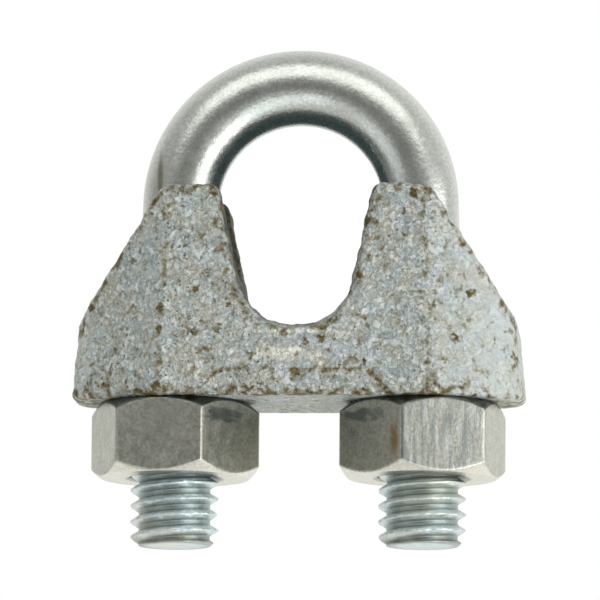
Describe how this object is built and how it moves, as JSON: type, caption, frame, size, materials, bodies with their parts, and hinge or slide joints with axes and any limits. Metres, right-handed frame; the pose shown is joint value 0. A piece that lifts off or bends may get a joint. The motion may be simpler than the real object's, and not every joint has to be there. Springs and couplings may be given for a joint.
{
  "type": "wire rope clip",
  "caption": "Saddle-type U-bolt rope clip: a cast saddle with a round rope seat between towers, a threaded U-bolt and hexagon nuts that draw the bow down onto the rope.",
  "frame": {"origin": "on the axis of the rope seat, halfway through the depth of the saddle", "axes": "+Z along the U-bolt legs, from the seat towards the bow; +Y along the ropes; +X from the left leg to the right leg"},
  "size_m": [0.0406, 0.0154, 0.0451],
  "materials": {
    "galvanised_casting": "rough hot-dip galvanised casting with brown specks of rust",
    "plated_rod": "satin zinc plating",
    "plated_nut": "dull zinc plating with polished chamfers"
  },
  "bodies": {
    "saddle": {"saddle": "galvanised_casting"},
    "u_bolt": {"u_bolt": "plated_rod"},
    "nut_left": {"nut_left": "plated_nut"},
    "nut_right": {"nut_right": "plated_nut"}
  },
  "joints": [
    {"name": "nut_left_spin", "type": "hinge", "parent": "saddle", "child": "nut_left", "pos_m": [-0.01115, 0, -0.015], "axis": [0, 0, 1], "range_deg": [-1530, 1530]},
    {"name": "nut_right_spin", "type": "hinge", "parent": "saddle", "child": "nut_right", "pos_m": [0.01115, 0, -0.015], "axis": [0, 0, 1], "range_deg": [-1530, 1530]},
    {"name": "u_bolt_draw", "type": "slide", "parent": "saddle", "child": "u_bolt", "axis": [0, 0, -1], "range_m": [-0.006, 0.006]}
  ],
  "couplings": [
    {"joint": "nut_right_spin", "follows": "nut_left_spin", "ratio": 1},
    {"joint": "u_bolt_draw", "follows": "nut_left_spin", "m_per_rad": 0.00022459}
  ]
}
